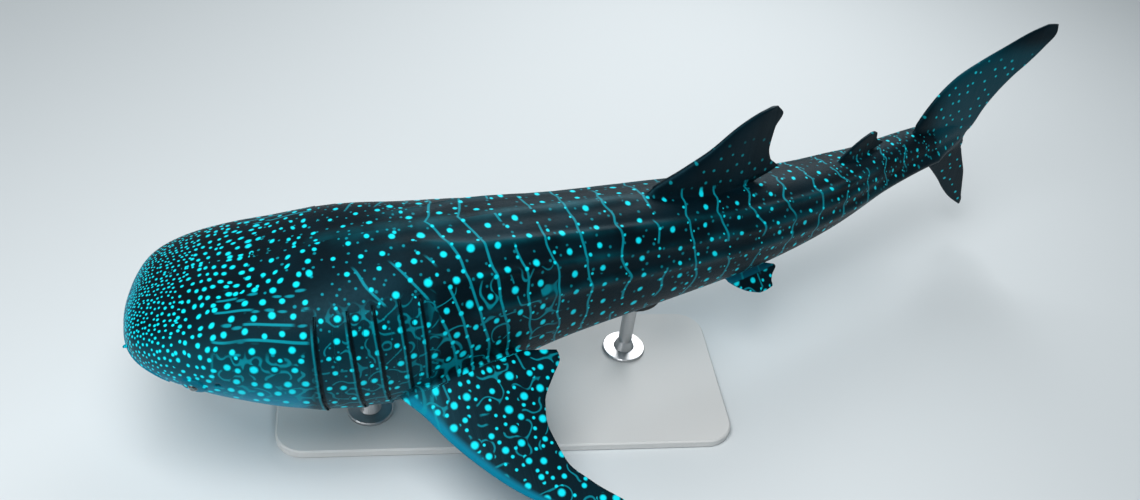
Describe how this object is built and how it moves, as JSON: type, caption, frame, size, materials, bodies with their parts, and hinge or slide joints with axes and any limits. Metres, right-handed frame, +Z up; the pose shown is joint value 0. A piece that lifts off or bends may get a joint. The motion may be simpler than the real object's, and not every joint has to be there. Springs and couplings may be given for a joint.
{
  "type": "whale shark museum model",
  "caption": "Life-size whale shark swimming with its body in a gentle bend, spotted skin, held by a flat display base with short rods.",
  "frame": {"origin": "middle of the flat underside of the stand's base", "axes": "+X from the snout towards the tail, along the longest extent; +Z up; the left flank faces -Y"},
  "size_m": [5.2104, 2.5549, 1.575],
  "materials": {
    "skin": "satin",
    "fins": "satin",
    "eye": "gloss",
    "stand_base": "satin",
    "stand_steel": "satin",
    "stand_pad": "matte"
  },
  "bodies": {
    "root": {"head": "skin", "gills": "skin", "trunk_front": "skin", "trunk_middle": "skin", "trunk_rear": "skin", "tail_stock": "skin", "dorsal_fin_first": "fins", "dorsal_fin_second": "fins", "anal_fin": "fins", "caudal_fin_upper": "fins", "caudal_fin_lower": "fins", "pectoral_fin_left": "fins", "pelvic_fin_left": "fins", "eye_left": "eye", "pectoral_fin_right": "fins", "pelvic_fin_right": "fins", "eye_right": "eye", "stand_base": "stand_base", "stand_rod_front": "stand_steel", "stand_saddle_front": "stand_pad", "stand_rod_rear": "stand_steel", "stand_saddle_rear": "stand_pad"}
  },
  "joints": []
}
